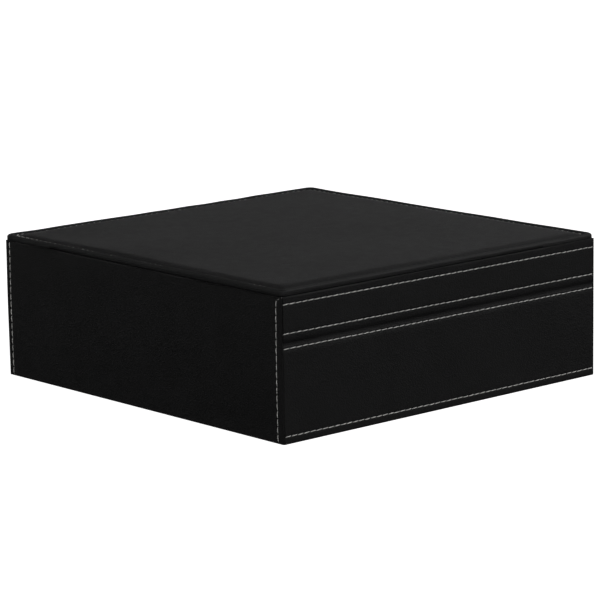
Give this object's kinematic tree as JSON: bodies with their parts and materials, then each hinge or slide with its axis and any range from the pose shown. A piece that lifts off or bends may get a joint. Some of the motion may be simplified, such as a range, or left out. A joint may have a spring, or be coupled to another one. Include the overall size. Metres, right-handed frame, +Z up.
{
  "type": "card deck box",
  "caption": "Low leather-covered chest for decks of upright cards, with a padded lid hinged at the back and an upper front strip that folds down.",
  "frame": {"origin": "centre of the underside, on the surface that the box stands on", "axes": "+Z up, -Y the drop front, +Y the hinged back, -X the left side, +X the right side"},
  "size_m": [0.295, 0.303, 0.1026],
  "materials": {
    "cover_leather": "fine-grained black artificial leather, satin",
    "suede": "short black microsuede",
    "partition_suede": "short black microsuede on board",
    "greyboard": "dense grey board",
    "foam": "thin soft foam",
    "divider_card": "frosted black sheet",
    "steel": "plain steel plate",
    "magnet": "nickel-plated disc magnet",
    "thread": "waxed off-white sewing thread"
  },
  "bodies": {
    "tray": {"bottom_cover": "cover_leather", "base_board": "greyboard", "floor_lining": "suede", "left_wall_board": "greyboard", "left_wall_lining": "suede", "left_wall_cover": "cover_leather", "right_wall_board": "greyboard", "right_wall_lining": "suede", "right_wall_cover": "cover_leather", "back_wall_board": "greyboard", "back_wall_lining": "suede", "back_wall_cover": "cover_leather", "lid_hinge_leather": "cover_leather", "front_panel_board": "greyboard", "front_panel_cover": "cover_leather", "front_panel_lining": "suede", "front_crease_leather": "cover_leather", "lane_partition_1": "partition_suede", "lane_partition_2": "partition_suede", "lane_partition_3": "partition_suede"},
    "lid": {"lid_board": "greyboard", "lid_foam": "foam", "lid_cover": "cover_leather", "lid_lining": "suede", "lid_magnets": "magnet"},
    "front_flap": {"flap_board": "greyboard", "flap_cover": "cover_leather", "flap_lining": "suede", "flap_keeper_plates": "steel"},
    "divider_1": {"card_divider_1": "divider_card"},
    "divider_2": {"card_divider_2": "divider_card"},
    "divider_3": {"card_divider_3": "divider_card"},
    "divider_4": {"card_divider_4": "divider_card"}
  },
  "joints": [
    {"name": "lid_hinge", "type": "hinge", "parent": "tray", "child": "lid", "pos_m": [0, 0.1519, 0.0985], "axis": [-1, 0, 0], "range_deg": [0, 178]},
    {"name": "flap_hinge", "type": "hinge", "parent": "tray", "child": "front_flap", "pos_m": [0, -0.1519, 0.0682], "axis": [1, 0, 0], "range_deg": [0, 178]},
    {"name": "divider_1_slide", "type": "slide", "parent": "tray", "child": "divider_1", "axis": [0, 1, 0], "range_m": [-0.247, 0.034]},
    {"name": "divider_2_slide", "type": "slide", "parent": "tray", "child": "divider_2", "axis": [0, 1, 0], "range_m": [-0.247, 0.034]},
    {"name": "divider_3_slide", "type": "slide", "parent": "tray", "child": "divider_3", "axis": [0, 1, 0], "range_m": [-0.247, 0.034]},
    {"name": "divider_4_slide", "type": "slide", "parent": "tray", "child": "divider_4", "axis": [0, 1, 0], "range_m": [-0.247, 0.034]}
  ]
}
